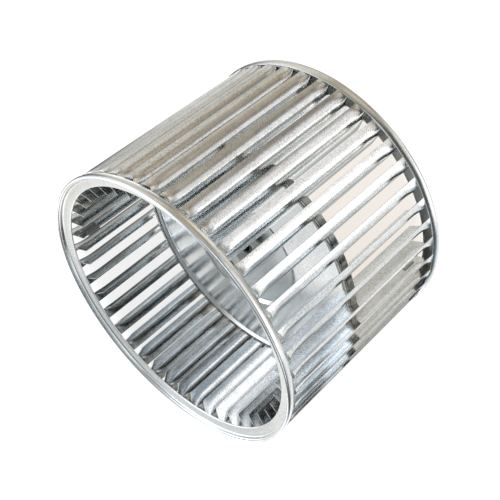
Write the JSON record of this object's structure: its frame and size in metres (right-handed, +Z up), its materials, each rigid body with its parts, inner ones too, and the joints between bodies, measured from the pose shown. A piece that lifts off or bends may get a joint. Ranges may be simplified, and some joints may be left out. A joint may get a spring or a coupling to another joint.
{
  "type": "blower motor wheel",
  "caption": "Double-inlet forward-curved blower wheel of galvanised sheet steel, with end rings, a centre disc and a set-screw hub.",
  "frame": {"origin": "centre of the wheel: on the shaft axis, half way between the end rings' faces", "axes": "+Y along the shaft axis, from the front inlet to the rear inlet; the wheel spins about +Y; +Z up with the wheel lying on its rim"},
  "size_m": [0.2413, 0.181, 0.2412],
  "materials": {
    "blade_steel": "galvanised sheet, bright spangle, slightly streaked along the blade",
    "ring_steel": "rolled galvanised sheet, satin, brighter on the bead",
    "disc_steel": "pressed galvanised sheet, smooth and reflective",
    "hub_steel": "turned steel, zinc plated",
    "screw_steel": "black oxide socket screw",
    "clip_steel": "dull spring steel strip"
  },
  "bodies": {
    "wheel": {"front_end_ring": "ring_steel", "rear_end_ring": "ring_steel", "centre_disc": "disc_steel", "hub": "hub_steel", "balance_clip_front": "clip_steel", "balance_clip_rear": "clip_steel", "blade_01": "blade_steel", "blade_02": "blade_steel", "blade_03": "blade_steel", "blade_04": "blade_steel", "blade_05": "blade_steel", "blade_06": "blade_steel", "blade_07": "blade_steel", "blade_08": "blade_steel", "blade_09": "blade_steel", "blade_10": "blade_steel", "blade_11": "blade_steel", "blade_12": "blade_steel", "blade_13": "blade_steel", "blade_14": "blade_steel", "blade_15": "blade_steel", "blade_16": "blade_steel", "blade_17": "blade_steel", "blade_18": "blade_steel", "blade_19": "blade_steel", "blade_20": "blade_steel", "blade_21": "blade_steel", "blade_22": "blade_steel", "blade_23": "blade_steel", "blade_24": "blade_steel", "blade_25": "blade_steel", "blade_26": "blade_steel", "blade_27": "blade_steel", "blade_28": "blade_steel", "blade_29": "blade_steel", "blade_30": "blade_steel", "blade_31": "blade_steel", "blade_32": "blade_steel", "blade_33": "blade_steel", "blade_34": "blade_steel", "blade_35": "blade_steel", "blade_36": "blade_steel", "blade_37": "blade_steel", "blade_38": "blade_steel", "blade_39": "blade_steel", "blade_40": "blade_steel", "blade_41": "blade_steel", "blade_42": "blade_steel", "blade_43": "blade_steel"},
    "set_screw": {"set_screw": "screw_steel"}
  },
  "joints": [
    {"name": "set_screw_travel", "type": "slide", "parent": "wheel", "child": "set_screw", "axis": [0.5225, 0, 0.8526], "range_m": [-0.0012, 0.006]}
  ]
}
